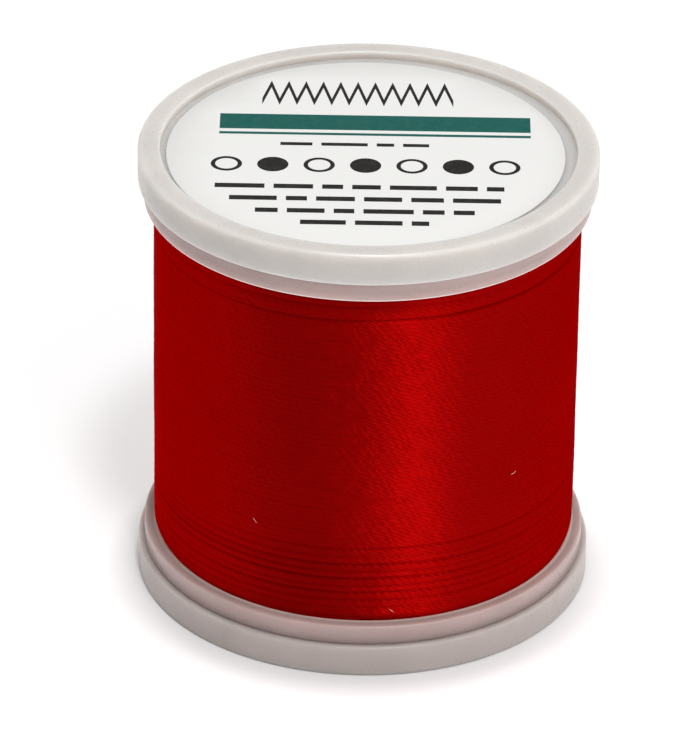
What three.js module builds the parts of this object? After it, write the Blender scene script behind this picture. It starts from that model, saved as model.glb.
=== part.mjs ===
// A spool of machine embroidery thread. The moulded spool is a hollow barrel with a thin flange plate
// at each end, and a cap is fitted over each plate. The thread is wound level between the plates, and
// a round paper label lies in the recess of the top cap. A machine's spool pin enters from below.
// Millimetres, +Z up. The origin is the centre of the base, on the surface that the spool stands on.
import * as THREE from "three";

// Driving dimensions of the whole spool.
const SPOOL_RADIUS = 15.5; // the caps, which are the widest part
const SPOOL_HEIGHT = 32.2;
const CAP_THICKNESS = 2.25;
const FLANGE_THICKNESS = 3.65; // a cap, its seam and a plate together
const CLEARANCE = 0.3; // the seam between a cap and its plate, and round every other piece
const SIDES = 64; // steps round the axis

// The moulded body: the barrel and the two flange plates.
const PLATE_RADIUS = 15.1;
const PLATE_BEVEL = 0.15;
const BARREL_RADIUS = 11.2;
const BARREL_WALL = 1.5;

// The caps.
const RIM_ROUND = 0.25; // rounding of the outer rim
const SEAM_ROUND = 0.2; // rounding beside the seam
const RECESS_RADIUS = 14.0; // the shallow recess where the label lies
const RECESS_DEPTH = 1.2;
const RECESS_BEVEL = 0.15; // on the rim's inner edge
const PIN_HOLE_RADIUS = 3.5;

// The label, a disc that is stuck on a little off centre.
const LABEL_RADIUS = 13.4;
const LABEL_THICKNESS = 0.4;
const LABEL_BELOW_RIM = 0.5;
const LABEL_SHIFT_X = -0.2;

// The winding. Heights are counted from its lower end.
const WINDING_LOW_RADIUS = 14.44;
const WINDING_HIGH_RADIUS = 14.36;
const WINDING_EDGE_DROP = 0.12; // the first and last turns lie lower than the others
const WINDING_EDGE_HEIGHT = 0.35;
const GROOVE_HALF_WIDTH = 0.25;
// The deepest furrows, where neighbouring turns were laid a little apart.
const GROOVES = [
  { height: 1.1, depth: 0.14 },
  { height: 2.0, depth: 0.1 },
  { height: 3.6, depth: 0.14 },
  { height: 5.6, depth: 0.08 },
  { height: 22.9, depth: 0.12 },
];

const plastic = new THREE.MeshStandardMaterial({ color: 0xdbd8d3, roughness: 0.45, metalness: 0 });
const thread = new THREE.MeshStandardMaterial({ color: 0xa50808, roughness: 0.4, metalness: 0 });
const paper = new THREE.MeshStandardMaterial({ color: 0xf0efec, roughness: 0.7, metalness: 0 });

const at = (radius, height) => new THREE.Vector2(radius, height);

// An arc of an outline about a centre. Angles are in degrees from the radius axis.
function arc(centre, radius, from, to, steps) {
  const points = [];
  for (let i = 0; i <= steps; i++) {
    const angle = THREE.MathUtils.degToRad(from + ((to - from) * i) / steps);
    points.push(at(centre.x + radius * Math.cos(angle), centre.y + radius * Math.sin(angle)));
  }
  return points;
}

// Turns an outline about the Z axis. It runs anticlockwise in (radius, height) and is closed here.
function turned(name, outline, material) {
  const geometry = new THREE.LatheGeometry([...outline, outline[0]], SIDES);
  geometry.rotateX(Math.PI / 2);
  const mesh = new THREE.Mesh(geometry, material);
  mesh.name = name;
  return mesh;
}

// One moulding: the barrel, open at both ends, with its two flange plates.
function spoolBody() {
  const low = CAP_THICKNESS + CLEARANCE;
  const high = SPOOL_HEIGHT - low;
  const lowPlateTop = FLANGE_THICKNESS;
  const highPlateBase = SPOOL_HEIGHT - FLANGE_THICKNESS;
  const flatRadius = PLATE_RADIUS - PLATE_BEVEL;
  const boreRadius = BARREL_RADIUS - BARREL_WALL;
  const outline = [
    at(boreRadius, low),
    at(flatRadius, low),
    at(PLATE_RADIUS, low + PLATE_BEVEL),
    at(PLATE_RADIUS, lowPlateTop - PLATE_BEVEL),
    at(flatRadius, lowPlateTop),
    at(BARREL_RADIUS, lowPlateTop),
    at(BARREL_RADIUS, highPlateBase),
    at(flatRadius, highPlateBase),
    at(PLATE_RADIUS, highPlateBase + PLATE_BEVEL),
    at(PLATE_RADIUS, high - PLATE_BEVEL),
    at(flatRadius, high),
    at(boreRadius, high),
  ];
  return turned("spool_body", outline, plastic);
}

// A cap as it lies on the base: a raised rim round a shallow recess, with a hole for the spool pin.
// The same moulding serves both ends.
function cap(name) {
  const rimCentre = at(SPOOL_RADIUS - RIM_ROUND, RIM_ROUND);
  const seamCentre = at(SPOOL_RADIUS - SEAM_ROUND, CAP_THICKNESS - SEAM_ROUND);
  const outline = [
    at(PIN_HOLE_RADIUS, RECESS_DEPTH),
    at(RECESS_RADIUS, RECESS_DEPTH),
    at(RECESS_RADIUS, RECESS_BEVEL),
    at(RECESS_RADIUS + RECESS_BEVEL, 0),
    ...arc(rimCentre, RIM_ROUND, -90, 0, 4),
    ...arc(seamCentre, SEAM_ROUND, 0, 90, 2),
    at(PIN_HOLE_RADIUS, CAP_THICKNESS),
  ];
  return turned(name, outline, plastic);
}

// The radius of the winding's surface at a height above its lower end.
function windingRadius(height, total) {
  return THREE.MathUtils.lerp(WINDING_LOW_RADIUS, WINDING_HIGH_RADIUS, height / total);
}

// The thread, wound level round the barrel, as one solid with its deepest furrows.
function threadWinding() {
  const base = FLANGE_THICKNESS + CLEARANCE;
  const total = SPOOL_HEIGHT - 2 * base;
  const innerRadius = BARREL_RADIUS + CLEARANCE;
  const surface = (height, drop) => at(windingRadius(height, total) - drop, base + height);
  const furrows = GROOVES.flatMap(({ height, depth }) => [
    surface(height - GROOVE_HALF_WIDTH, 0),
    surface(height, depth),
    surface(height + GROOVE_HALF_WIDTH, 0),
  ]);
  const outline = [
    at(innerRadius, base),
    surface(0, WINDING_EDGE_DROP),
    surface(WINDING_EDGE_HEIGHT, 0),
    ...furrows,
    surface(total - WINDING_EDGE_HEIGHT, 0),
    surface(total, WINDING_EDGE_DROP),
    at(innerRadius, base + total),
  ];
  return turned("thread_winding", outline, thread);
}

// The round paper label, which also covers the upper end of the bore.
function topLabel() {
  const geometry = new THREE.CylinderGeometry(LABEL_RADIUS, LABEL_RADIUS, LABEL_THICKNESS, SIDES);
  geometry.rotateX(Math.PI / 2);
  const mesh = new THREE.Mesh(geometry, paper);
  mesh.name = "top_label";
  mesh.position.set(LABEL_SHIFT_X, 0, SPOOL_HEIGHT - LABEL_BELOW_RIM - LABEL_THICKNESS / 2);
  return mesh;
}

const bottomCap = cap("bottom_cap");

const topCap = cap("top_cap");
topCap.rotation.x = Math.PI;
topCap.position.z = SPOOL_HEIGHT;

const spool = new THREE.Group();
spool.add(spoolBody(), bottomCap, topCap, threadWinding(), topLabel());

export default spool;
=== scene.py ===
# %% [markdown]
# # A spool of embroidery thread
# The real object is a small moulded spool: a barrel with a flange plate at each end, a cap over each
# plate, some two hundred metres of rayon thread wound level between them, and a round paper label.
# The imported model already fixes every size, so it is loaded first and nothing in it is moved. Each
# piece below is a finer one that takes the place of a plain solid.

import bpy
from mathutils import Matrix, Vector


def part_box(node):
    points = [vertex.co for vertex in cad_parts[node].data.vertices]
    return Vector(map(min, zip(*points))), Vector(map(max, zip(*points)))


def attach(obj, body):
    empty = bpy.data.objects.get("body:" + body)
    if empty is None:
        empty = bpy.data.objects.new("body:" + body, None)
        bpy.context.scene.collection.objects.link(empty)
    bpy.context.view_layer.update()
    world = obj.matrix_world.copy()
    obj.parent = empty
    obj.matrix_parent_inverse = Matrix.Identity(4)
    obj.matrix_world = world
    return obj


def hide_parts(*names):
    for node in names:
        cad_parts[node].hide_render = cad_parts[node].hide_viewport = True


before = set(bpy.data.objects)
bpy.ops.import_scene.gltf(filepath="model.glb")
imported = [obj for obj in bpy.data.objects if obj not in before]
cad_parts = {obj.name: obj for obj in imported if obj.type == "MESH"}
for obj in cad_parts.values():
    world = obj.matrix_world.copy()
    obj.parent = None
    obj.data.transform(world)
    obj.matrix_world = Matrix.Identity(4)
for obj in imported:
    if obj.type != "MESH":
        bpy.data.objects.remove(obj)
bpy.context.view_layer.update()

# %% Imports
import math
import random

import bmesh
import bpy
from mathutils import Matrix, Vector, noise
from mathutils.geometry import delaunay_2d_cdt

MM = 0.001
SEED = 40

# %% [markdown]
# ## Sizes
# A spool is a set of turned shapes, so a few radii and heights describe it. They are read from the
# boxes of the imported nodes, because a size that is typed twice can drift apart. Only what is too
# fine for the imported solids, such as an edge's rounding, is given here.

# %% Read the sizes from the frame
SPOOL_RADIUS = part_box("top_cap")[1].x
SPOOL_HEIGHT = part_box("top_cap")[1].z
CAP_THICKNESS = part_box("bottom_cap")[1].z
PLATE_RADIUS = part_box("spool_body")[1].x
BODY_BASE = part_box("spool_body")[0].z
CLEARANCE = BODY_BASE - CAP_THICKNESS
WINDING_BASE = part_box("thread_winding")[0].z - CLEARANCE
WINDING_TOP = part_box("thread_winding")[1].z + CLEARANCE
WINDING_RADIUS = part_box("thread_winding")[1].x
LABEL_LOW, LABEL_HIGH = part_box("top_label")
LABEL_RADIUS = (LABEL_HIGH.x - LABEL_LOW.x) / 2
LABEL_SHIFT = (LABEL_HIGH.x + LABEL_LOW.x) / 2
print(f"spool {2 * SPOOL_RADIUS / MM:.1f} mm across and {SPOOL_HEIGHT / MM:.1f} mm high")
print(f"winding from {WINDING_BASE / MM:.2f} to {WINDING_TOP / MM:.2f} mm")

# %% [markdown]
# ## The stage
# A plain pale floor and a soft light show an object's own colours best. The floor lies on the plane
# that the spool stands on, and it belongs to the studio, as its name says.

# %% Floor
FLOOR_SIZE = 4.0
FLOOR_COLOR = (0.95, 0.95, 0.95)
FLOOR_ROUGHNESS = 0.9


def plain_material(name, color, roughness):
    """A material with one colour, for the studio only."""
    made = bpy.data.materials.new(name)
    made.use_nodes = True
    shader = made.node_tree.nodes["Principled BSDF"]
    shader.inputs["Base Color"].default_value = (*color, 1)
    shader.inputs["Roughness"].default_value = roughness
    return made


bpy.ops.mesh.primitive_plane_add(size=FLOOR_SIZE, location=(0, 0, 0))
floor = bpy.context.object
floor.name = "studio_floor"
floor.data.materials.append(plain_material("floor paper", FLOOR_COLOR, FLOOR_ROUGHNESS))
print(f"floor {FLOOR_SIZE:.0f} m wide")

# %% [markdown]
# ## The camera
# The photograph looks down at the spool from in front, with a long lens that keeps its sides almost
# parallel. A camera is placed by where it stands and what it looks at. The small roll leans the
# spool's axis by less than a degree, as in the photograph.

# %% Camera
CAMERA_PLACE = Vector((0, -386.2, 233.2)) * MM
CAMERA_AIM = Vector((-1.7, -5.67, 17.96)) * MM
CAMERA_LENS = 314.2
CAMERA_SENSOR = 36.0
CAMERA_ROLL = math.radians(0.8)
CAMERA_NEAR, CAMERA_FAR = 0.01, 10

camera_data = bpy.data.cameras.new("camera")
camera_data.sensor_width = CAMERA_SENSOR
camera_data.lens = CAMERA_LENS
camera_data.clip_start = CAMERA_NEAR
camera_data.clip_end = CAMERA_FAR
camera = bpy.data.objects.new("camera", camera_data)
bpy.context.scene.collection.objects.link(camera)
facing = (CAMERA_AIM - CAMERA_PLACE).to_track_quat("-Z", "Y").to_matrix().to_4x4()
camera.matrix_world = Matrix.Translation(CAMERA_PLACE) @ facing @ Matrix.Rotation(CAMERA_ROLL, 4, "Z")
bpy.context.scene.camera = camera
print(f"camera {(CAMERA_PLACE - CAMERA_AIM).length / MM:.0f} mm away")

# %% [markdown]
# ## Helpers for materials
# A procedural material is a small network of nodes. A few short helpers keep each network readable:
# one adds a node and joins or sets its inputs, and the others add a step of arithmetic, a mix, a
# stretched range or some noise.

# %% Node helpers


def add_node(tree, kind, inputs=None, **settings):
    """A node of that kind. An input is another node's output, or a value for the socket."""
    made = tree.nodes.new(kind)
    for key, value in settings.items():
        setattr(made, key, value)
    for key, value in (inputs or {}).items():
        if isinstance(value, bpy.types.NodeSocket):
            tree.links.new(value, made.inputs[key])
        else:
            made.inputs[key].default_value = value
    return made


def calc(tree, operation, first, second=0.0):
    """One arithmetic step on two outputs or numbers."""
    return add_node(tree, "ShaderNodeMath", {0: first, 1: second}, operation=operation).outputs[0]


def mix_colors(tree, share, first, second):
    """From the first colour to the second, as share goes from 0 to 1."""
    made = add_node(tree, "ShaderNodeMix", {0: share, 6: first, 7: second}, data_type="RGBA")
    return made.outputs[2]


def mix_values(tree, share, first, second):
    """From the first number to the second, as share goes from 0 to 1."""
    kept = calc(tree, "MULTIPLY", first, calc(tree, "SUBTRACT", 1.0, share))
    return calc(tree, "ADD", kept, calc(tree, "MULTIPLY", share, second))


def remap(tree, value, low, high, new_low, new_high):
    """Stretches a range of values to another one, and stops at its ends."""
    sockets = {"Value": value, "From Min": low, "From Max": high, "To Min": new_low, "To Max": new_high}
    return add_node(tree, "ShaderNodeMapRange", sockets).outputs[0]


# %% Noise and empty materials
# Noise runs from 0 to 1 and mostly stays between these two values.
NOISE_LOW, NOISE_HIGH = 0.3, 0.7


def speckle(tree, place, scale, detail=2.0):
    """Noise whose features are about one over scale of a metre wide."""
    sockets = {"Vector": place, "Scale": scale, "Detail": detail}
    return add_node(tree, "ShaderNodeTexNoise", sockets).outputs[0]


def start_material(name):
    """An empty material: its node tree, its shader and the place of each point on the object."""
    made = bpy.data.materials.new(name)
    made.use_nodes = True
    tree = made.node_tree
    place = add_node(tree, "ShaderNodeTexCoord").outputs["Object"]
    return made, tree, tree.nodes["Principled BSDF"], place


# %% [markdown]
# ## The light
# Four soft boxes stand round the spool. One hangs straight above it: its light falls past the upright
# walls, whitens the floor and leaves a short soft shadow all round the base. A small key light stands
# high in front, a little to the right, so that its shadow falls behind and to the left. A tall one
# beside it widens the bright upright strip on the thread, and a thin wide one in front draws the fine
# line along the rim.

# %% Soft boxes
# Azimuth 0 is in front and 90 on the right. Angles are in degrees, sizes and distances in metres.
TOP_LIGHT = {"azimuth": 180, "elevation": 88, "distance": 0.6, "wide": 0.06, "tall": 0.05, "power": 1.7}
KEY_LIGHT = {"azimuth": 12, "elevation": 64, "distance": 0.6, "wide": 0.07, "tall": 0.10, "power": 0.95}
STRIP_LIGHT = {"azimuth": 25, "elevation": 40, "distance": 0.5, "wide": 0.12, "tall": 0.24, "power": 0.34}
RIM_LIGHT = {"azimuth": -6, "elevation": 46, "distance": 0.5, "wide": 0.24, "tall": 0.02, "power": 0.10}


def soft_box(name, azimuth, elevation, distance, wide, tall, power):
    """A light panel that faces the middle of the spool."""
    light = bpy.data.lights.new(name, "AREA")
    light.shape = "RECTANGLE"
    light.size = wide
    light.size_y = tall
    light.energy = power
    holder = bpy.data.objects.new(name, light)
    bpy.context.scene.collection.objects.link(holder)
    turn, rise = math.radians(azimuth), math.radians(elevation)
    way = Vector((math.sin(turn) * math.cos(rise), -math.cos(turn) * math.cos(rise), math.sin(rise)))
    holder.location = Vector((0, 0, SPOOL_HEIGHT / 2)) + way * distance
    holder.rotation_euler = (-way).to_track_quat("-Z", "Y").to_euler()


soft_box("top_light", **TOP_LIGHT)
soft_box("key_light", **KEY_LIGHT)
soft_box("strip_light", **STRIP_LIGHT)
soft_box("rim_light", **RIM_LIGHT)
print(f"soft boxes: {TOP_LIGHT['power']} W above, {KEY_LIGHT['power']} W in front and two weak ones")

# %% [markdown]
# The rest of the light comes from a white surround, as in a light tent, with two bright side walls and
# a dimmer roof and back. A tent is open where the photographer stands, and thread is shiny enough to
# show that opening as a darker upright zone to the left of its bright strip.

# %% Surround
LEFT_STRENGTH = 1.0
RIGHT_STRENGTH = 1.15
BACK_STRENGTH = 0.55
ROOF_STRENGTH = 0.28
OPENING_LEFT = math.radians(-66)
OPENING_RIGHT = math.radians(12)
OPENING_BLUR = 0.24
# How far a direction points backwards or up where the back or the roof starts, and where it is full.
BACK_START, BACK_FULL = 0.1, 0.8
ROOF_START, ROOF_FULL = 0.4, 0.75


def tent_strength(tree):
    """How bright the surround is in each direction."""
    toward = add_node(tree, "ShaderNodeTexCoord").outputs["Generated"]
    way = add_node(tree, "ShaderNodeSeparateXYZ", {0: toward})
    azimuth = calc(tree, "ARCTAN2", way.outputs[0], calc(tree, "MULTIPLY", way.outputs[1], -1.0))
    left_end, left_start = OPENING_LEFT - OPENING_BLUR, OPENING_LEFT + OPENING_BLUR
    right_start, right_end = OPENING_RIGHT - OPENING_BLUR, OPENING_RIGHT + OPENING_BLUR
    left_wall = remap(tree, azimuth, left_end, left_start, LEFT_STRENGTH, 0)
    right_wall = remap(tree, azimuth, right_start, right_end, 0, RIGHT_STRENGTH)
    walls = calc(tree, "ADD", left_wall, right_wall)
    back_share = remap(tree, way.outputs[1], BACK_START, BACK_FULL, 0, 1)
    roof_share = remap(tree, way.outputs[2], ROOF_START, ROOF_FULL, 0, 1)
    around = mix_values(tree, back_share, walls, BACK_STRENGTH)
    return mix_values(tree, roof_share, around, ROOF_STRENGTH)


world = bpy.data.worlds.new("light_tent")
world.use_nodes = True
background = world.node_tree.nodes["Background"]
background.inputs["Color"].default_value = (1, 1, 1, 1)
world.node_tree.links.new(tent_strength(world.node_tree), background.inputs["Strength"])
bpy.context.scene.world = world
bpy.context.scene.view_settings.view_transform = "Standard"
print(f"surround open for {math.degrees(OPENING_RIGHT - OPENING_LEFT):.0f} degrees in front")

# %% [markdown]
# ## Milky plastic
# The spool is moulded from undyed polypropylene. Light goes some millimetres into it and comes out
# elsewhere, so its edges glow a little and it takes up red beside the thread. Subsurface scattering
# does part of this. The bright lines at its thin edges, the glow below the cap's joint and the pale
# ring at the thread's foot are painted highlights. A faint mottling and a fine grain keep the surface
# from looking like a flat colour.

# %% Plastic material
GLOW_DEPTH = 2.0 * MM
GLOW_BY_COLOR = (1.0, 0.85, 0.75)
CLOUD_SCALE = 260
CLOUD_SHADE = 0.93
GRAIN_SCALE = 5200
GRAIN_HEIGHT = 0.015 * MM
SMOOTHEST, ROUGHEST = 0.26, 0.36
EDGE_WIDTH = 0.16 * MM
# Painted highlights: the bright lines at thin edges, and the pale ring at the thread's foot.
PLATE_EDGE_PAINTED_GLOW = (0.95, 0.72, 0.70, 1)
CAP_EDGE_PAINTED_HIGHLIGHT = (0.72, 0.69, 0.67, 1)
FOOT_PAINTED_HIGHLIGHT = (0.85, 0.66, 0.60, 1)
# A painted glow that lightens the plate towards its joint with the cap.
JOINT_REACH = 0.75 * MM
JOINT_PAINTED_GLOW = 0.35


def milky_plastic(name, color, painted_highlight_height=None, painted_highlight_color=None, joint_height=None, foot_radius=None):
    """Undyed moulded plastic. Its colour is what it takes up from behind it.

    At painted_highlight_height a thin painted highlight runs round the edge. Just below
    joint_height a painted glow lightens the colour towards the joint with the cap. At foot_radius
    a painted highlight makes a pale ring where the thread ends.
    """
    made, tree, shader, place = start_material(name)
    clouds = speckle(tree, place, CLOUD_SCALE)
    grain = speckle(tree, place, GRAIN_SCALE, 4)
    cloudy = tuple(CLOUD_SHADE * c for c in color)
    tint = mix_colors(tree, remap(tree, clouds, 0.35, NOISE_HIGH, 0, 1), (*color, 1), (*cloudy, 1))
    height = add_node(tree, "ShaderNodeSeparateXYZ", {0: place}).outputs[2]
    if joint_height is not None:
        # Painted glow: the plate turns lighter towards its joint with the cap.
        glow = remap(tree, height, joint_height - JOINT_REACH, joint_height, 0, JOINT_PAINTED_GLOW)
        tint = mix_colors(tree, glow, tint, PLATE_EDGE_PAINTED_GLOW)
    if foot_radius is not None:
        # Painted highlight: a pale ring where the thread's foot meets the plate.
        level = add_node(tree, "ShaderNodeVectorMath", {0: place, 1: (1, 1, 0)}, operation="MULTIPLY")
        length = add_node(tree, "ShaderNodeVectorMath", {0: level.outputs[0]}, operation="LENGTH")
        near = remap(tree, length.outputs["Value"], foot_radius, foot_radius + EDGE_WIDTH, 1, 0)
        tint = mix_colors(tree, near, tint, FOOT_PAINTED_HIGHLIGHT)
    if painted_highlight_height is not None:
        # Painted highlight: a thin bright line round the edge at this height.
        above = remap(tree, height, painted_highlight_height - EDGE_WIDTH / 2, painted_highlight_height, 0, 1)
        below = remap(tree, height, painted_highlight_height + EDGE_WIDTH / 2, painted_highlight_height + EDGE_WIDTH, 1, 0)
        tint = mix_colors(tree, calc(tree, "MULTIPLY", above, below), tint, painted_highlight_color)
    tree.links.new(tint, shader.inputs["Base Color"])
    roughness = remap(tree, grain, NOISE_LOW, NOISE_HIGH, SMOOTHEST, ROUGHEST)
    tree.links.new(roughness, shader.inputs["Roughness"])
    bump = add_node(tree, "ShaderNodeBump", {"Height": grain, "Strength": 0.3, "Distance": GRAIN_HEIGHT})
    tree.links.new(bump.outputs[0], shader.inputs["Normal"])
    shader.inputs["Subsurface Weight"].default_value = 1.0
    shader.inputs["Subsurface Radius"].default_value = GLOW_BY_COLOR
    shader.inputs["Subsurface Scale"].default_value = GLOW_DEPTH
    return made


# %% [markdown]
# The same plastic is given three colours. The upper cap's is the plain one, lit from above. The
# plates' is darker and pinker: partly the thread's red seen through them, partly painted shade, and
# their thin edges carry a painted glow. The lower cap's is darker still: the red behind it, and
# painted shade for the less light it gets.

# %% Plastics of the three mouldings
# The plate colour is partly the thread's red and partly painted shade. The lower colour is painted shade.
UPPER_COLOR = (0.58, 0.555, 0.53)
PLATE_RED_AND_SHADE_COLOR = (0.45, 0.34, 0.325)
LOWER_SHADED_COLOR = (0.47, 0.41, 0.39)
UPPER_SEAM = SPOOL_HEIGHT - CAP_THICKNESS
FOOT_RADIUS = WINDING_RADIUS - 0.04 * MM

upper_plastic = milky_plastic("milky plastic", UPPER_COLOR, painted_highlight_height=UPPER_SEAM, painted_highlight_color=CAP_EDGE_PAINTED_HIGHLIGHT)
plate_plastic = milky_plastic(
    "milky plastic plate",
    PLATE_RED_AND_SHADE_COLOR,
    painted_highlight_height=WINDING_TOP,
    painted_highlight_color=PLATE_EDGE_PAINTED_GLOW,
    joint_height=UPPER_SEAM,
    foot_radius=FOOT_RADIUS,
)
lower_plastic = milky_plastic("milky plastic in shade", LOWER_SHADED_COLOR)
print("plastics:", ", ".join(m.name for m in (upper_plastic, plate_plastic, lower_plastic)))

# %% [markdown]
# ## Turned shapes
# Every moulded piece of the spool has the same outline all the way round. Such a piece could come
# from the Screw modifier. Writing the mesh directly is as short, and it keeps a closed solid. An
# outline is a list of (radius, height) points that runs anticlockwise.

# %% Turning helper
SIDES = 192
SHARP_ANGLE = math.radians(38)


def arc(centre_radius, centre_height, size, start, end, steps):
    """Points of a round edge about a centre, between two angles in degrees."""
    points = []
    for i in range(steps + 1):
        angle = math.radians(start + (end - start) * i / steps)
        points.append((centre_radius + size * math.cos(angle), centre_height + size * math.sin(angle)))
    return points


def finish_piece(name, bm, materials, nodes):
    """Makes an object from a mesh, shades it smooth but for its sharp edges, and fits it to the frame."""
    for edge in bm.edges:
        edge.smooth = len(edge.link_faces) == 2 and edge.calc_face_angle(0) < SHARP_ANGLE
    for face in bm.faces:
        face.smooth = True
    mesh = bpy.data.meshes.new(name)
    bm.to_mesh(mesh)
    bm.free()
    for material in materials:
        mesh.materials.append(material)
    piece = bpy.data.objects.new(name, mesh)
    bpy.context.scene.collection.objects.link(piece)
    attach(piece, "root")
    if nodes:
        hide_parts(*nodes)
    print(f"{name}: {len(mesh.vertices)} points, {len(mesh.polygons)} faces")


def turned(bm, outline):
    """Adds a closed solid to a mesh: an outline that is turned about the Z axis."""
    rings = []
    for i in range(SIDES):
        c, s = math.cos(math.tau * i / SIDES), math.sin(math.tau * i / SIDES)
        rings.append([bm.verts.new((radius * c, radius * s, height)) for radius, height in outline])
    for i, ring in enumerate(rings):
        other = rings[(i + 1) % SIDES]
        for j in range(len(outline)):
            k = (j + 1) % len(outline)
            bm.faces.new((ring[j], other[j], other[k], ring[k]))


# %% [markdown]
# ## The caps
# Both caps are the same moulding. The rim is rounded outside, flat on top and a little bevelled
# inside, and the label lies in the recess. A cap stands out a little past the flange plate beside it,
# which is what draws the fine crease round the flange.

# %% Caps
RIM_ROUND = 0.25 * MM
RIM_INNER_ROUND = 0.12 * MM
SEAM_ROUND = 0.18 * MM
RECESS_RADIUS = 14.0 * MM
LABEL_LIE = 0.14 * MM
RECESS_DEPTH = SPOOL_HEIGHT - LABEL_HIGH.z + LABEL_LIE
PIN_HOLE_RADIUS = 3.5 * MM
PIN_HOLE_ROUND = 0.25 * MM


def cap_outline():
    """The section of a cap that lies on the floor, with its recess below."""
    inner = RECESS_RADIUS + RIM_INNER_ROUND
    outer = SPOOL_RADIUS - RIM_ROUND
    return [
        *arc(PIN_HOLE_RADIUS + PIN_HOLE_ROUND, RECESS_DEPTH + PIN_HOLE_ROUND, PIN_HOLE_ROUND, 180, 270, 3),
        (RECESS_RADIUS - SEAM_ROUND, RECESS_DEPTH),
        (RECESS_RADIUS, RECESS_DEPTH - SEAM_ROUND / 2),
        *arc(inner, RIM_INNER_ROUND, RIM_INNER_ROUND, 180, 270, 4),
        *arc(outer, RIM_ROUND, RIM_ROUND, 270, 360, 8),
        *arc(SPOOL_RADIUS - SEAM_ROUND, CAP_THICKNESS - SEAM_ROUND, SEAM_ROUND, 0, 90, 4),
        (PIN_HOLE_RADIUS, CAP_THICKNESS),
    ]


def cap_piece(name, node, material, upside_down):
    """One cap. The upper one is the same shape, turned over."""
    bm = bmesh.new()
    turned(bm, cap_outline())
    if upside_down:
        bmesh.ops.rotate(bm, verts=bm.verts, matrix=Matrix.Rotation(math.pi, 3, "X"))
        bmesh.ops.translate(bm, verts=bm.verts, vec=(0, 0, SPOOL_HEIGHT))
    finish_piece(name, bm, [material], [node])


cap_piece("lower_cap", "bottom_cap", lower_plastic, False)
cap_piece("upper_cap", "top_cap", upper_plastic, True)

# %% [markdown]
# ## The spool body
# The barrel and its two plates are one moulding. Only the plates' rims show, as a narrow band
# beside each end of the winding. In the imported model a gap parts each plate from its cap. Here the
# plate all but reaches the cap, as on the real snapped joint, and a tiny bevel leaves a fine crease.

# %% Spool body
PLATE_ROUND = 0.14 * MM
SEAM_BEVEL = 0.05 * MM
SEAM_GAP = 0.01 * MM
BARREL_RADIUS = 11.2 * MM
BORE_RADIUS = 9.7 * MM


def plate_rim(outward):
    """The rim of the lower plate from its cap side to its thread side, as (radius, height) points."""
    low = CAP_THICKNESS + SEAM_GAP
    edge = PLATE_RADIUS - PLATE_ROUND
    points = [
        (PLATE_RADIUS - SEAM_BEVEL, low),
        (PLATE_RADIUS, low + SEAM_BEVEL),
        *arc(edge, WINDING_BASE - PLATE_ROUND, PLATE_ROUND, 0, 90, 4),
    ]
    return points if outward else [(r, SPOOL_HEIGHT - z) for r, z in reversed(points)]


bm = bmesh.new()
barrel = [(BARREL_RADIUS, WINDING_BASE), (BARREL_RADIUS, WINDING_TOP)]
bore = [(BORE_RADIUS, UPPER_SEAM - SEAM_GAP), (BORE_RADIUS, CAP_THICKNESS + SEAM_GAP)]
turned(bm, [*plate_rim(True), *barrel, *plate_rim(False), *bore])
finish_piece("barrel_and_plates", bm, [plate_plastic], ["spool_body"])

# %% [markdown]
# ## The winding
# The thread is wound turn beside turn from one plate to the other. Two hundred metres of it would
# be far too many points, and only the outermost layer shows. So the winding is one closed surface
# whose skin follows a real helix: each turn is a low ridge, and a few neighbours lie further apart.
# The place along the thread and the place across it are kept as UV coordinates for the material.

# %% Turns of the winding
TURN_PITCH = 0.375 * MM
PITCH_SPREAD = 0.16


def turn_heights():
    """Where each turn starts, from the lower plate to the upper one, a little unevenly spaced."""
    dice = random.Random(SEED)
    count = round((WINDING_TOP - WINDING_BASE) / TURN_PITCH)
    steps = [1 + dice.uniform(-PITCH_SPREAD, PITCH_SPREAD) for _ in range(count)]
    share = (WINDING_TOP - WINDING_BASE) / sum(steps)
    heights = [WINDING_BASE]
    for step in steps:
        heights.append(heights[-1] + step * share)
    return heights


def height_at(heights, turn):
    """The height at a number of turns that needn't be whole."""
    whole = min(int(turn), len(heights) - 2)
    return heights[whole] + (heights[whole + 1] - heights[whole]) * (turn - whole)


# %% [markdown]
# Where neighbouring turns were laid apart, the winding has a fine furrow. Such furrows could be bump in
# the material, but they show at the silhouette too, so they are cut into the skin. Each one wanders up
# and down a little and is deeper on some sides than on others, because no two turns lie quite alike.

# %% Furrows
FURROW_WIDTH = 0.11 * MM
FURROW_WANDER = 0.10 * MM
FURROW_RIPPLE = 0.05 * MM
FURROW_MEAN = 0.62
# Height above the floor, depth, and where round the spool the wander starts.
FURROWS = [
    {"height": 4.55 * MM, "depth": 0.05 * MM, "phase": 2.9},
    {"height": 5.20 * MM, "depth": 0.08 * MM, "phase": 2.3},
    {"height": 5.75 * MM, "depth": 0.09 * MM, "phase": 2.7},
    {"height": 6.30 * MM, "depth": 0.06 * MM, "phase": 2.1},
    {"height": 6.85 * MM, "depth": 0.11 * MM, "phase": 2.6},
    {"height": 7.40 * MM, "depth": 0.08 * MM, "phase": 2.9},
    {"height": 7.95 * MM, "depth": 0.10 * MM, "phase": 2.4},
    {"height": 8.55 * MM, "depth": 0.05 * MM, "phase": 2.8},
    {"height": 9.20 * MM, "depth": 0.06 * MM, "phase": 2.0},
    {"height": 26.65 * MM, "depth": 0.10 * MM, "phase": 1.9},
    {"height": 27.60 * MM, "depth": 0.06 * MM, "phase": 2.6},
]


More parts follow.
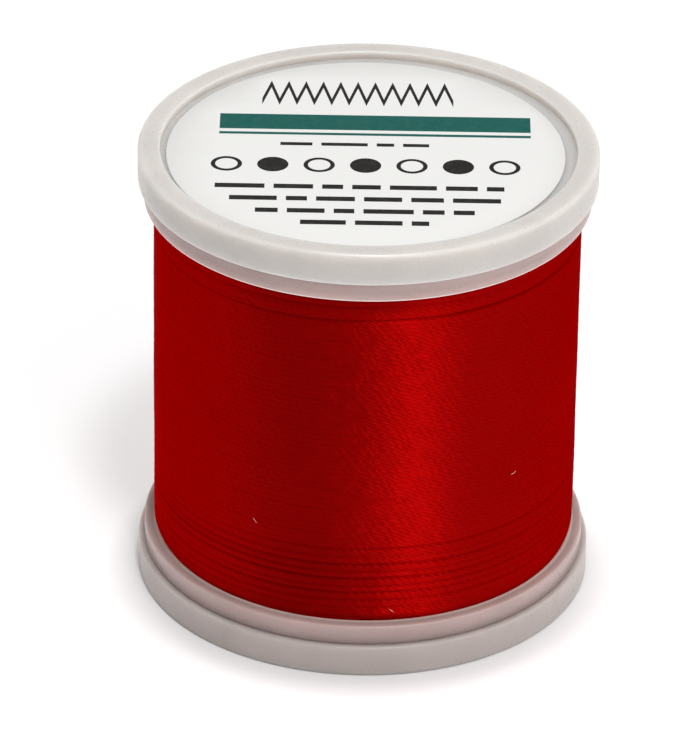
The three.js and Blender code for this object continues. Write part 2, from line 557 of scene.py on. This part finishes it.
def furrow_depth(angle, height):
    """How far the skin sinks at a place, from the furrows that pass there."""
    depth = 0.0
    for furrow in FURROWS:
        wander = FURROW_WANDER * math.sin(angle + furrow["phase"]) + FURROW_RIPPLE * math.sin(3 * angle)
        strength = FURROW_MEAN + (1 - FURROW_MEAN) * math.sin(2 * angle + 2 * furrow["phase"])
        away = (height - furrow["height"] - wander) / FURROW_WIDTH
        depth += furrow["depth"] * strength * math.exp(-away * away)
    return depth


print(f"{len(FURROWS)} furrows, the lowest {FURROWS[0]['height'] / MM:.2f} mm above the floor")

# %% Skin of the winding
TURN_RELIEF = 0.022 * MM
TURN_SPREAD = 0.014 * MM
TURN_CHANGE = 1.7  # the step in the noise from one turn to the next
SWELL = 0.03 * MM
SWELL_LENGTH = 6 * MM
END_DROP = 0.16 * MM
END_REACH = 0.5 * MM
END_STEEPNESS = 3


def skin_radius(angle, height, turn):
    """The radius of the winding's skin at a place on one of its turns."""
    across = turn - math.floor(turn)
    ridge = TURN_RELIEF * (2 * across - 1) ** 2
    round_it = Vector((2 * math.cos(angle), 2 * math.sin(angle), TURN_CHANGE * math.floor(turn)))
    lie = TURN_SPREAD * noise.noise(round_it)
    end = min(height - WINDING_BASE, WINDING_TOP - height)
    drop = END_DROP * math.exp(-((end / END_REACH) ** 2) * END_STEEPNESS)
    swell = SWELL * noise.noise(Vector((math.cos(angle), math.sin(angle), height / SWELL_LENGTH)))
    return WINDING_RADIUS - ridge - drop + lie + swell - furrow_depth(angle, height)


# %% [markdown]
# The skin is laid out in upright columns of points, one for each step round the spool. Along a helix
# each column starts a little higher than the one before, so after a whole round the last column has
# risen by one turn, and it joins the first column one turn up. Each point also carries a number for
# how deep it lies in a furrow or beside a plate, which the material turns into shade.

# %% Points of the winding
ROWS_PER_TURN = 5
STEPS_AROUND = 236
START_LIFT = 0.02 * MM
BARREL_GAP = 0.3 * MM
FURROW_FULL = 0.1 * MM
# Reach and strength of the painted shade beside the plates.
END_SHADE = 0.25 * MM
END_DARK = 1.6


def skin_column(bm, furrow, heights, share):
    """One upright column of the skin, that share of the way round."""
    turns = len(heights) - 1
    angle = math.tau * share - math.pi / 2
    column = []
    for j in range((turns - 1) * ROWS_PER_TURN + 1):
        turn = (j / ROWS_PER_TURN) + share
        height = height_at(heights, turn) + START_LIFT * (1 - turn / turns)
        radius = skin_radius(angle, height, j / ROWS_PER_TURN)
        point = bm.verts.new((radius * math.cos(angle), radius * math.sin(angle), height))
        end = min(height - WINDING_BASE, WINDING_TOP - height)
        # Painted shade beside the plates, added to the furrow number.
        shade = END_DARK * math.exp(-end / END_SHADE)
        point[furrow] = min(1.0, furrow_depth(angle, height) / FURROW_FULL) + shade
        column.append(point)
    return column


def end_points(bm, share):
    """The points that close a column: its low and high end outside, then along the barrel."""
    angle = math.tau * share - math.pi / 2
    edge = WINDING_RADIUS - TURN_RELIEF - END_DROP
    core = BARREL_RADIUS + BARREL_GAP
    places = ((edge, WINDING_BASE), (edge, WINDING_TOP), (core, WINDING_BASE), (core, WINDING_TOP))
    return [bm.verts.new((r * math.cos(angle), r * math.sin(angle), z)) for r, z in places]


# %% Faces of the winding
TURN_LENGTH = math.tau * WINDING_RADIUS / MM


def lay(bm, points, places):
    """One face, and for each of its corners the place on the thread."""
    face = bm.faces.new(points)
    uv = bm.loops.layers.uv["thread"]
    for loop, place in zip(face.loops, places):
        loop[uv].uv = place


def lay_skin(bm, column, other, lift, start, stop):
    """The faces between two columns, where the other one continues that many rows higher up."""
    for j in range(len(column) - 1 - lift):
        whole, across = divmod(j, ROWS_PER_TURN)
        low, high = across / ROWS_PER_TURN, (across + 1) / ROWS_PER_TURN
        left, right = (whole + start) * TURN_LENGTH, (whole + stop) * TURN_LENGTH
        corners = (column[j], other[j + lift], other[j + 1 + lift], column[j + 1])
        lay(bm, corners, ((left, low), (right, low), (right, high), (left, high)))


def lay_ends(bm, ends, others, start):
    """The flat faces under and over the thread, and the one along the barrel."""
    low, high, low_inner, high_inner = ends
    next_low, next_high, next_low_inner, next_high_inner = others
    plain = ((start * TURN_LENGTH, 0),) * 4
    lay(bm, (low, low_inner, next_low_inner, next_low), plain)
    lay(bm, (next_high, next_high_inner, high_inner, high), plain)
    lay(bm, (low_inner, high_inner, next_high_inner, next_low_inner), plain)


def lay_steps(bm, skin, ends):
    """The two upright steps, one turn high, where the helix starts and where it ends."""
    first, last = skin[0], skin[-1]
    plain = ((0, 0),) * (ROWS_PER_TURN + 4)
    lay(bm, (ends[-1][0], ends[0][0], *first[: ROWS_PER_TURN + 1], last[0]), plain)
    lay(bm, (first[-1], ends[0][1], ends[-1][1], *reversed(last[-ROWS_PER_TURN - 1 :])), plain)


# %% Winding mesh


def wind_thread():
    """The closed winding. Its skin is a helix: the last column of points joins the first, one turn up."""
    heights = turn_heights()
    bm = bmesh.new()
    bm.loops.layers.uv.new("thread")
    furrow = bm.verts.layers.float.new("furrow")
    skin, ends = [], []
    for i in range(STEPS_AROUND):
        skin.append(skin_column(bm, furrow, heights, i / STEPS_AROUND))
        ends.append(end_points(bm, i / STEPS_AROUND))
    last = STEPS_AROUND - 1
    for i in range(STEPS_AROUND):
        k = (i + 1) % STEPS_AROUND
        start, stop = i / STEPS_AROUND, (i + 1) / STEPS_AROUND
        lay_skin(bm, skin[i], skin[k], ROWS_PER_TURN if i == last else 0, start, stop)
        lay_ends(bm, ends[i], ends[k], start)
        if i < last:
            here, there = (start * TURN_LENGTH, 0), (stop * TURN_LENGTH, 0)
            lay(bm, (ends[i][0], ends[k][0], skin[k][0], skin[i][0]), (here, there, there, here))
            lay(bm, (skin[i][-1], skin[k][-1], ends[k][1], ends[i][1]), (here, there, there, here))
    lay_steps(bm, skin, ends)
    turns = len(heights) - 1
    print(f"{turns} turns, about {turns * TURN_LENGTH / 1000:.1f} m of thread in the layer that shows")
    return bm


# %% [markdown]
# ## Rayon thread
# Embroidery rayon is two bright filament yarns twisted together. Light slides off it in short slanted
# dashes, one for each half twist, and all of them together make the bright strip on the winding. The
# slant, the dashes and the fine filaments are worked out from the UV coordinates: U is the distance
# along the thread in millimetres, and V goes from 0 to 1 across it.

# %% Twist of the thread
TWIST_LENGTH = 0.58
FILAMENTS_PER_PLY = 7.0
FILAMENT_HEIGHT = 0.03
PLY_ROUNDING = 0.7
DASH_HEIGHT = 0.018 * MM
UNEVEN_SCALE = 620
UNEVEN_TWISTS = 2.2
BULGE_SCALE = 1100
LEAST_BULGE, MOST_BULGE = 0.4, 1.6


def twisted(tree, place, along, across):
    """The dashes of the twist, from 0 between them to 1 on top, and the height of the whole relief."""
    uneven = calc(tree, "MULTIPLY", speckle(tree, place, UNEVEN_SCALE, 4), UNEVEN_TWISTS)
    slant = calc(tree, "ADD", calc(tree, "DIVIDE", along, TWIST_LENGTH), across)
    twist = calc(tree, "ADD", slant, uneven)
    ply = calc(tree, "ABSOLUTE", calc(tree, "SINE", calc(tree, "MULTIPLY", twist, math.pi)))
    fine = calc(tree, "SINE", calc(tree, "MULTIPLY", twist, math.tau * FILAMENTS_PER_PLY))
    rounded = calc(tree, "POWER", ply, PLY_ROUNDING)
    bulge = remap(tree, speckle(tree, place, BULGE_SCALE), 0.35, 0.65, LEAST_BULGE, MOST_BULGE)
    relief = calc(tree, "ADD", rounded, calc(tree, "MULTIPLY", fine, FILAMENT_HEIGHT))
    return ply, calc(tree, "MULTIPLY", relief, bulge)


# %% [markdown]
# The dye is one red. Painted shade darkens it towards a deeper red where shade falls: at the two
# sides of each turn, between the dashes, in the furrows and beside the plates. Slow noise stands for
# the uneven dyeing of a long thread.

# %% Thread colour
THREAD_RED = (0.45, 0.002, 0.002, 1)
# The deeper red is painted shade, mixed in where shade falls on the thread.
THREAD_PAINTED_SHADE = (0.17, 0.0, 0.0, 1)
BATCH_SCALE = 120
BATCH_SHADE = 0.86
# Painted shade at the sides of a turn, between the dashes and in the furrows.
SIDE_WIDTH = 0.09
SIDE_SHADE = 0.85
DASH_SHADE = 0.85
FURROW_DARKEST = 1.8


def dyed_and_shaded(tree, place, across, ply):
    """The colour at each place on the thread."""
    open_side = calc(tree, "MULTIPLY", across, calc(tree, "SUBTRACT", 1.0, across))
    crown = remap(tree, open_side, 0.0, SIDE_WIDTH, SIDE_SHADE, 1.0)
    batch = remap(tree, speckle(tree, place, BATCH_SCALE), NOISE_LOW, NOISE_HIGH, BATCH_SHADE, 1.0)
    # Painted shade in the furrows and beside the plates, from the number each point carries.
    furrow = add_node(tree, "ShaderNodeAttribute", attribute_name="furrow").outputs["Fac"]
    sunk = remap(tree, furrow, 0.0, FURROW_DARKEST, 1.0, 0.0)
    lit = remap(tree, ply, 0.2, 0.9, DASH_SHADE, 1.0)
    for share in (crown, batch, sunk):
        lit = calc(tree, "MULTIPLY", lit, share)
    return mix_colors(tree, lit, THREAD_PAINTED_SHADE, THREAD_RED)


# %% [markdown]
# Filaments that lie side by side mirror light as brushed metal does: a small light becomes a long
# streak across them. An anisotropic shader does that from one direction, the tangent, which follows
# the thread here through its UV coordinates. The shader is made mostly metallic, although rayon isn't
# a metal, because a metal's shine takes its own colour, and the shine of dyed thread is red too.

# %% Thread material
METAL_SHARE = 0.85
SHINE_ROUGHNESS = 0.53
GRAZING_TINT = (1.0, 0.02, 0.02, 1)
# A quarter of a turn would lay the fibres level. The twist tilts them, which moves the strip of light.
FIBRE_TURN = 0.27


def rayon():
    """Twisted rayon thread, laid turn beside turn."""
    made, tree, shader, place = start_material("red rayon")
    where = add_node(tree, "ShaderNodeUVMap", uv_map="thread").outputs[0]
    split = add_node(tree, "ShaderNodeSeparateXYZ", {0: where})
    along, across = split.outputs[0], split.outputs[1]
    ply, relief = twisted(tree, place, along, across)
    bump = add_node(tree, "ShaderNodeBump", {"Height": relief, "Strength": 0.8, "Distance": DASH_HEIGHT})
    tree.links.new(bump.outputs[0], shader.inputs["Normal"])
    tree.links.new(dyed_and_shaded(tree, place, across, ply), shader.inputs["Base Color"])
    run = add_node(tree, "ShaderNodeTangent", direction_type="UV_MAP", uv_map="thread")
    tree.links.new(run.outputs[0], shader.inputs["Tangent"])
    shader.inputs["Anisotropic"].default_value = 1.0
    shader.inputs["Anisotropic Rotation"].default_value = FIBRE_TURN
    shader.inputs["Metallic"].default_value = METAL_SHARE
    shader.inputs["Roughness"].default_value = SHINE_ROUGHNESS
    shader.inputs["Specular IOR Level"].default_value = 0.0
    shader.inputs["Specular Tint"].default_value = GRAZING_TINT
    return made


finish_piece("wound_thread", wind_thread(), [rayon()], ["thread_winding"])

# %% [markdown]
# ## Paper label
# The label is a disc of coated paper. Its print is made as faces of the mesh, not as an image: the
# outlines of all printed shapes and of the disc are handed to Blender's triangulation, and each
# triangle takes the ink of the last shape that holds it, so that the edges stay crisp at any size.

# %% Label materials
PAPER_COLOR = (0.69, 0.685, 0.67, 1)
PAPER_SHINE = 0.12
PAPER_ROUGHNESS = 0.62
BLACK_INK = (0.010, 0.009, 0.008, 1)
GREEN_INK = (0.003, 0.085, 0.070, 1)
INK_ROUGHNESS = 0.5
ROUGHNESS_SPREAD = 0.06
FIBRE_SCALE = 2600
FIBRE_HEIGHT = 0.02 * MM
INK_WEAR = 0.04


def printed_paper(name, color, roughness):
    """Coated paper, bare or inked. Its fibres show faintly in the surface and through the ink."""
    made, tree, shader, place = start_material(name)
    fibres = speckle(tree, place, FIBRE_SCALE, 5)
    worn = tuple((1 - INK_WEAR) * c + INK_WEAR * p for c, p in zip(color[:3], PAPER_COLOR[:3]))
    cover = remap(tree, fibres, 0.42, 0.72, 0.0, 0.55)
    tree.links.new(mix_colors(tree, cover, color, (*worn, 1)), shader.inputs["Base Color"])
    smooth, rough = roughness - ROUGHNESS_SPREAD, roughness + ROUGHNESS_SPREAD
    gloss = remap(tree, fibres, NOISE_LOW, NOISE_HIGH, smooth, rough)
    tree.links.new(gloss, shader.inputs["Roughness"])
    shader.inputs["Specular IOR Level"].default_value = PAPER_SHINE
    bump = add_node(tree, "ShaderNodeBump", {"Height": fibres, "Strength": 0.25, "Distance": FIBRE_HEIGHT})
    tree.links.new(bump.outputs[0], shader.inputs["Normal"])
    return made


INKS = [
    printed_paper("label paper", PAPER_COLOR, PAPER_ROUGHNESS),
    printed_paper("black ink", BLACK_INK, INK_ROUGHNESS),
    printed_paper("green ink", GREEN_INK, INK_ROUGHNESS),
]
BARE, BLACK, GREEN = 0, 1, 2
print("label materials:", ", ".join(ink.name for ink in INKS))

# %% [markdown]
# The print is a generic design made of plain shapes: a zigzag like a row of stitches, two bars, a row
# of rings and dots, and rows of dashes. Each shape is a closed outline in millimetres.

# %% Shapes of the print
PRINT_SIDES = 32


def round_shape(x, y, radius):
    """A disc's outline."""
    angles = [math.tau * i / PRINT_SIDES for i in range(PRINT_SIDES)]
    return [(x + radius * math.cos(a), y + radius * math.sin(a)) for a in angles]


def bar_shape(x, y, width, height):
    """A bar's outline, about its centre."""
    w, h = width / 2, height / 2
    return [(x - w, y - h), (x + w, y - h), (x + w, y + h), (x - w, y + h)]


def zigzag_shape(x, y, width, height, peaks, thickness):
    """One row of zigzag stitches as a closed band."""
    steps = 2 * peaks
    start, stride = x - width / 2, width / steps
    line = [(start + stride * i, y + (height / 2) * (-1) ** (i + 1)) for i in range(steps + 1)]
    upper = [(px, py + thickness / 2) for px, py in line]
    lower = [(px, py - thickness / 2) for px, py in line]
    return lower + upper[::-1]


SHORTEST_DASH, LONGEST_DASH = 1.1, 3.4
DASH_GAP = 0.6
LEAST_ROOM = 1.0  # no dash starts nearer than this to the end of its row


def dash_row(dice, y, width, height):
    """A centred row of dashes of uneven length."""
    shapes, x = [], -width / 2
    while x < width / 2 - LEAST_ROOM:
        dash = min(dice.uniform(SHORTEST_DASH, LONGEST_DASH), width / 2 - x)
        shapes.append((bar_shape(x + dash / 2, y, dash, height), BLACK))
        x += dash + DASH_GAP
    return shapes


# %% Layout of the print
# Millimetres from the label's centre.
ZIGZAG = {"x": -0.6, "y": 8.6, "width": 13.0, "height": 2.6, "peaks": 11, "thickness": 1.0}
BARS = [
    {"x": 0.6, "y": 4.3, "width": 21.0, "height": 2.2},
    {"x": 0.6, "y": 2.6, "width": 21.0, "height": 0.35},
]
SHORT_ROW = {"y": 1.1, "width": 11.5, "height": 0.45}
DOTS = {"count": 7, "pitch": 3.1, "y": -1.9, "radius": 1.05, "ring_inside": 0.75}
LONG_ROWS = [
    {"y": -5.0, "width": 20.0, "height": 0.62},
    {"y": -6.7, "width": 18.0, "height": 0.62},
    {"y": -8.4, "width": 14.5, "height": 0.62},
    {"y": -10.0, "width": 8.5, "height": 0.62},
]


def label_print():
    """All printed shapes, each with its ink. Every other dot is a ring with bare paper inside."""
    dice = random.Random(SEED)
    shapes = [(zigzag_shape(**ZIGZAG), BLACK)]
    shapes += [(bar_shape(**bar), GREEN) for bar in BARS]
    shapes += dash_row(dice, **SHORT_ROW)
    for i in range(DOTS["count"]):
        x = (i - (DOTS["count"] - 1) / 2) * DOTS["pitch"]
        shapes.append((round_shape(x, DOTS["y"], DOTS["radius"]), BLACK))
        if i % 2 == 0:
            shapes.append((round_shape(x, DOTS["y"], DOTS["ring_inside"]), BARE))
    for row in LONG_ROWS:
        shapes += dash_row(dice, **row)
    return shapes


# %% Label mesh
LABEL_SIDES = 192
LABEL_EDGE_ROUND = 0.05 * MM
INSIDE_ONLY = 1  # the triangulation keeps what lies inside the outlines
SAME_POINT = 1e-6


def label_disc():
    """The printed disc: its face, and a thin edge that reaches down to the recess."""
    reach = (LABEL_RADIUS - LABEL_EDGE_ROUND) / MM
    angles = [math.tau * i / LABEL_SIDES for i in range(LABEL_SIDES)]
    outlines = [([(reach * math.cos(a), reach * math.sin(a)) for a in angles], BARE), *label_print()]
    points, loops = [], []
    for outline, _ in outlines:
        loops.append(list(range(len(points), len(points) + len(outline))))
        points += [Vector(p) for p in outline]
    found = delaunay_2d_cdt(points, [], loops, INSIDE_ONLY, SAME_POINT)
    flat_points, flat_faces, first_points, owners = found[0], found[2], found[3], found[5]
    bm = bmesh.new()
    top = LABEL_HIGH.z
    verts = [bm.verts.new((LABEL_SHIFT + p.x * MM, p.y * MM, top)) for p in flat_points]
    for corners, shapes in zip(flat_faces, owners):
        face = bm.faces.new([verts[c] for c in corners])
        face.material_index = outlines[max(shapes)][1]
    at_start = {first[0]: verts[i] for i, first in enumerate(first_points) if first}
    edge_ring = [at_start[i] for i in range(LABEL_SIDES)]
    round_it = [(LABEL_SHIFT + LABEL_RADIUS * math.cos(a), LABEL_RADIUS * math.sin(a)) for a in angles]
    for height in (top - LABEL_EDGE_ROUND, top - LABEL_LIE):
        ring = [bm.verts.new((x, y, height)) for x, y in round_it]
        for i in range(LABEL_SIDES):
            k = (i + 1) % LABEL_SIDES
            bm.faces.new((ring[i], ring[k], edge_ring[k], edge_ring[i]))
        edge_ring = ring
    bm.faces.new(edge_ring[::-1])
    return bm


finish_piece("printed_label", label_disc(), INKS, ["top_label"])

# %% [markdown]
# ## Lint
# A few specks of lint cling to any wound thread. Each is a short bent tube no thicker than a hair.
# They are placed one by one where the photograph shows them, and a few more by dice on the other sides.

# %% Lint material
# The red tint is painted light: the thread's red cast on the pale fibre.
LINT_PAINTED_RED_LIGHT = (0.75, 0.30, 0.27, 1)
LINT_PALE = (0.85, 0.6, 0.55, 1)
LINT_SCALE = 3000
LINT_ROUGHNESS = 0.8


def lint_material():
    """Pale fibre, tinted by the red below it."""
    made, tree, shader, place = start_material("lint")
    # Painted red light from the thread, mixed in by noise.
    shade = mix_colors(tree, speckle(tree, place, LINT_SCALE), LINT_PAINTED_RED_LIGHT, LINT_PALE)
    tree.links.new(shade, shader.inputs["Base Color"])
    shader.inputs["Roughness"].default_value = LINT_ROUGHNESS
    return made


# %% Lint fibres
LINT_RADIUS = 0.022 * MM
LINT_STEPS = 6
LINT_SIDES = 4
# These three are in millimetres: how long a fibre is, how far it stands off, and how far it arches.
LINT_LENGTH = 0.42
LINT_STANDS_OFF = 0.02
LINT_ARCH = 0.03
# Degrees to the right of the front, and millimetres above the floor.
LINT_SPECKS = [(-30, 10.3), (8, 4.5), (44, 13.1)]
MORE_SPECKS = 5


def lint_ring(bm, centre, angle, radius):
    """Four points round a fibre that lies along the winding."""
    outward = Vector((math.cos(angle), math.sin(angle), 0))
    upward = Vector((0, 0, 1))
    return [bm.verts.new(centre + d * radius) for d in (-outward, -upward, outward, upward)]


def lint_fibre(bm, angle, height, lean, bend):
    """One fibre as a closed tube that thins towards its ends."""
    rings = []
    for i in range(LINT_STEPS + 1):
        t = i / LINT_STEPS - 0.5
        swing = (t * math.cos(lean) * LINT_LENGTH * MM) / WINDING_RADIUS
        rise = (t * math.sin(lean) * LINT_LENGTH + bend * (0.25 - t * t)) * MM
        out = WINDING_RADIUS + (LINT_STANDS_OFF + LINT_ARCH * math.cos(3 * t)) * MM
        turn = angle + swing
        centre = Vector((out * math.cos(turn), out * math.sin(turn), height * MM + rise))
        rings.append(lint_ring(bm, centre, angle, LINT_RADIUS * (1.1 - 1.4 * t * t)))
    for ring, other in zip(rings, rings[1:]):
        for j in range(LINT_SIDES):
            k = (j + 1) % LINT_SIDES
            bm.faces.new((ring[j], ring[k], other[k], other[j]))
    bm.faces.new(rings[0][::-1])
    bm.faces.new(rings[-1])


def lint():
    """All fibres in one mesh."""
    dice = random.Random(SEED)
    places = LINT_SPECKS + [(dice.uniform(90, 270), dice.uniform(6, 26)) for _ in range(MORE_SPECKS)]
    bm = bmesh.new()
    for azimuth, height in places:
        lean, bend = dice.uniform(-0.9, 0.9), dice.uniform(-0.25, 0.25)
        lint_fibre(bm, math.radians(azimuth) - math.pi / 2, height, lean, bend)
    return bm


finish_piece("lint", lint(), [lint_material()], [])
